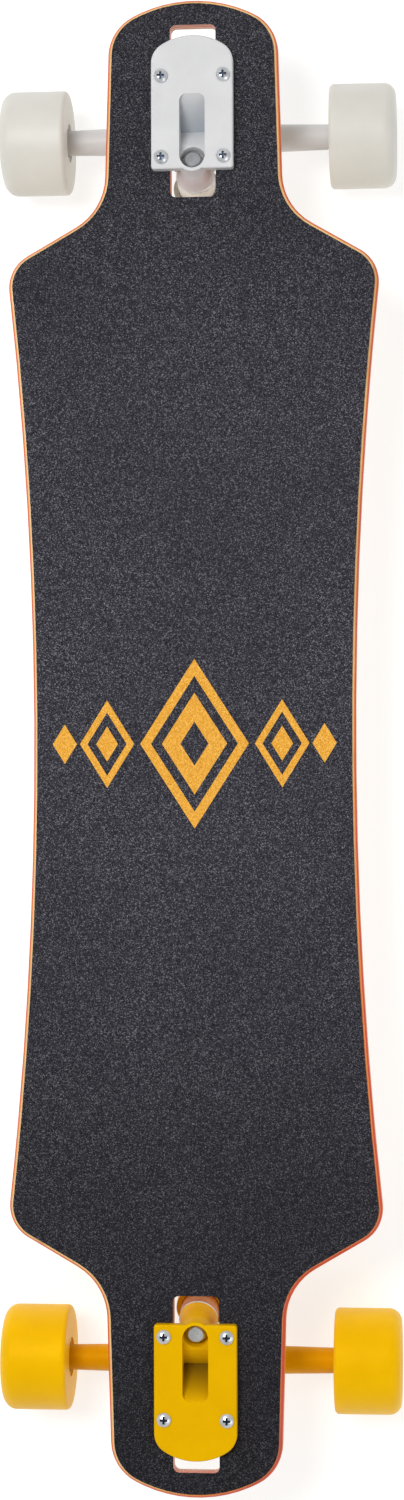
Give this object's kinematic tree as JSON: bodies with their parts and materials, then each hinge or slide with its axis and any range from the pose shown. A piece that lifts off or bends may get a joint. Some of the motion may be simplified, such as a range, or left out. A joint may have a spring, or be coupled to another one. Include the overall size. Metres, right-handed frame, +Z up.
{
  "type": "longboard skateboard",
  "caption": "Drop-through longboard skateboard: gripped plywood deck, kingpin trucks that steer on bushings, and urethane wheels on ball bearings.",
  "frame": {"origin": "on the floor, under the middle of the deck", "axes": "+Y towards the nose along the deck, +X to the right of a rider facing the nose, +Z up"},
  "size_m": [0.2676, 0.9898, 0.0948],
  "materials": {
    "deck_maple": "laminated maple, clear satin edge",
    "grip_tape": "coarse silicon-carbide grit",
    "white_paint": "satin powder coat on cast aluminium",
    "yellow_paint": "satin powder coat on cast aluminium",
    "white_urethane": "satin cast urethane",
    "yellow_urethane": "satin cast urethane",
    "white_bushing": "cast urethane",
    "amber_bushing": "cast urethane",
    "black_rubber": "matt",
    "zinc_steel": "bright zinc plate",
    "axle_steel": "ground steel",
    "bearing_steel": "polished bearing steel",
    "cage_brass": "pressed brass"
  },
  "bodies": {
    "board": {"deck": "deck_maple", "grip_tape": "grip_tape", "front_baseplate": "white_paint", "front_pivot_cup": "black_rubber", "front_kingpin": "zinc_steel", "front_kingpin_nut": "zinc_steel", "front_boardside_washer": "zinc_steel", "front_boardside_bushing": "white_bushing", "front_roadside_bushing": "white_bushing", "front_roadside_washer": "zinc_steel", "front_mounting_screws": "zinc_steel", "front_mounting_nuts": "zinc_steel", "rear_baseplate": "yellow_paint", "rear_pivot_cup": "black_rubber", "rear_kingpin": "zinc_steel", "rear_kingpin_nut": "zinc_steel", "rear_boardside_washer": "zinc_steel", "rear_boardside_bushing": "amber_bushing", "rear_roadside_bushing": "amber_bushing", "rear_roadside_washer": "zinc_steel", "rear_mounting_screws": "zinc_steel", "rear_mounting_nuts": "zinc_steel"},
    "front_hanger_assembly": {"front_hanger": "white_paint", "front_axle": "axle_steel", "front_axle_nuts": "zinc_steel", "front_speed_washers": "zinc_steel", "front_bearing_spacers": "axle_steel", "front_bearing_inner_rings": "bearing_steel"},
    "front_left_wheel_assembly": {"front_left_wheel": "white_urethane", "front_left_bearing_outer_rings": "bearing_steel", "front_left_bearing_balls": "bearing_steel", "front_left_bearing_cages": "cage_brass", "front_left_bearing_shields": "black_rubber"},
    "front_right_wheel_assembly": {"front_right_wheel": "white_urethane", "front_right_bearing_outer_rings": "bearing_steel", "front_right_bearing_balls": "bearing_steel", "front_right_bearing_cages": "cage_brass", "front_right_bearing_shields": "black_rubber"},
    "rear_hanger_assembly": {"rear_hanger": "yellow_paint", "rear_axle": "axle_steel", "rear_axle_nuts": "zinc_steel", "rear_speed_washers": "zinc_steel", "rear_bearing_spacers": "axle_steel", "rear_bearing_inner_rings": "bearing_steel"},
    "rear_left_wheel_assembly": {"rear_left_wheel": "yellow_urethane", "rear_left_bearing_outer_rings": "bearing_steel", "rear_left_bearing_balls": "bearing_steel", "rear_left_bearing_cages": "cage_brass", "rear_left_bearing_shields": "black_rubber"},
    "rear_right_wheel_assembly": {"rear_right_wheel": "yellow_urethane", "rear_right_bearing_outer_rings": "bearing_steel", "rear_right_bearing_balls": "bearing_steel", "rear_right_bearing_cages": "cage_brass", "rear_right_bearing_shields": "black_rubber"}
  },
  "joints": [
    {"name": "front_steer", "type": "hinge", "parent": "board", "child": "front_hanger_assembly", "pos_m": [0, 0.4295, 0.0765], "axis": [0, 0.8969, 0.4422], "range_deg": [-15, 15], "stiffness_Nm_per_rad": 60, "deforming": ["front_boardside_bushing", "front_roadside_bushing"]},
    {"name": "front_left_spin", "type": "hinge", "parent": "front_hanger_assembly", "child": "front_left_wheel_assembly", "pos_m": [0, 0.413, 0.035], "axis": [1, 0, 0], "continuous": true},
    {"name": "front_right_spin", "type": "hinge", "parent": "front_hanger_assembly", "child": "front_right_wheel_assembly", "pos_m": [0, 0.413, 0.035], "axis": [1, 0, 0], "continuous": true},
    {"name": "rear_steer", "type": "hinge", "parent": "board", "child": "rear_hanger_assembly", "pos_m": [0, -0.4295, 0.0765], "axis": [0, -0.8969, 0.4422], "range_deg": [-15, 15], "stiffness_Nm_per_rad": 60, "deforming": ["rear_boardside_bushing", "rear_roadside_bushing"]},
    {"name": "rear_left_spin", "type": "hinge", "parent": "rear_hanger_assembly", "child": "rear_left_wheel_assembly", "pos_m": [0, -0.413, 0.035], "axis": [1, 0, 0], "continuous": true},
    {"name": "rear_right_spin", "type": "hinge", "parent": "rear_hanger_assembly", "child": "rear_right_wheel_assembly", "pos_m": [0, -0.413, 0.035], "axis": [1, 0, 0], "continuous": true}
  ]
}
